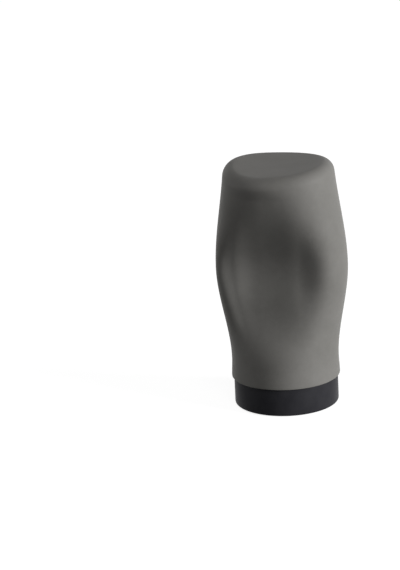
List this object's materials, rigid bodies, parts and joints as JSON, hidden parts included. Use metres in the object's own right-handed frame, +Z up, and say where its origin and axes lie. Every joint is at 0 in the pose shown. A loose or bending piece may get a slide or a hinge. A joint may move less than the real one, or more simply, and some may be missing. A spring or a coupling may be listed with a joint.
{
  "type": "dish soap dispenser",
  "caption": "Soft upright squeeze bottle with a closed top on a low screw base, dispensing through a slit valve in the underside; shown squeezed in at front and back.",
  "frame": {"origin": "on the surface that the dispenser stands on, on the axis of the base's thread", "axes": "+Z up along the thread's axis, -Y out of the front wall that the thumb presses, +X to the right seen from the front"},
  "size_m": [0.0758, 0.063, 0.1438],
  "materials": {
    "bottle_silicone": "soft-touch matte silicone, warm grey",
    "collar_plastic": "moulded, fine matte",
    "base_plastic": "moulded, satin black",
    "seal_rubber": "flat cut sheet",
    "foot_rubber": "moulded, matte",
    "valve_silicone": "cloudy clear silicone"
  },
  "bodies": {
    "base": {"base_cap": "base_plastic", "foot_ring": "foot_rubber", "valve_plate": "base_plastic", "valve_retainer": "base_plastic", "dispensing_valve": "valve_silicone"},
    "seal": {"collar_gasket": "seal_rubber"},
    "bottle": {"squeeze_body": "bottle_silicone", "mouth_collar": "collar_plastic"},
    "front_wall": {"front_press_wall": "bottle_silicone"},
    "rear_wall": {"rear_press_wall": "bottle_silicone"},
    "front_flap": {"valve_flap_front": "valve_silicone"},
    "right_flap": {"valve_flap_right": "valve_silicone"},
    "rear_flap": {"valve_flap_rear": "valve_silicone"},
    "left_flap": {"valve_flap_left": "valve_silicone"}
  },
  "joints": [
    {"name": "bottle_lift", "type": "slide", "parent": "base", "child": "seal", "axis": [0, 0, 1], "range_m": [0, 0.00901]},
    {"name": "bottle_turn", "type": "hinge", "parent": "seal", "child": "bottle", "pos_m": [0, 0, 0.0166], "axis": [0, 0, 1], "range_deg": [0, 540]},
    {"name": "thumb_press", "type": "slide", "parent": "bottle", "child": "front_wall", "axis": [0, 1, 0], "range_m": [-0.0223, 0.006], "stiffness_N_per_m": 600, "springref_m": -0.0223},
    {"name": "finger_press", "type": "slide", "parent": "bottle", "child": "rear_wall", "axis": [0, -1, 0], "range_m": [-0.005, 0.00135]},
    {"name": "flap_front_bend", "type": "hinge", "parent": "base", "child": "front_flap", "pos_m": [0, -0.00289, 0.0063], "axis": [-1, 0, 0], "range_deg": [-10, 55], "stiffness_Nm_per_rad": 0.000002},
    {"name": "flap_right_bend", "type": "hinge", "parent": "base", "child": "right_flap", "pos_m": [0.00289, 0, 0.0063], "axis": [0, -1, 0], "range_deg": [-10, 55], "stiffness_Nm_per_rad": 0.000002},
    {"name": "flap_rear_bend", "type": "hinge", "parent": "base", "child": "rear_flap", "pos_m": [0, 0.00289, 0.0063], "axis": [1, 0, 0], "range_deg": [-10, 55], "stiffness_Nm_per_rad": 0.000002},
    {"name": "flap_left_bend", "type": "hinge", "parent": "base", "child": "left_flap", "pos_m": [-0.00289, 0, 0.0063], "axis": [0, 1, 0], "range_deg": [-10, 55], "stiffness_Nm_per_rad": 0.000002}
  ],
  "couplings": [
    {"joint": "bottle_lift", "follows": "bottle_turn", "m_per_rad": 0.00095493},
    {"joint": "finger_press", "follows": "thumb_press", "ratio": 0.22422},
    {"joint": "flap_right_bend", "follows": "flap_front_bend", "ratio": 1},
    {"joint": "flap_rear_bend", "follows": "flap_front_bend", "ratio": 1},
    {"joint": "flap_left_bend", "follows": "flap_front_bend", "ratio": 1}
  ]
}
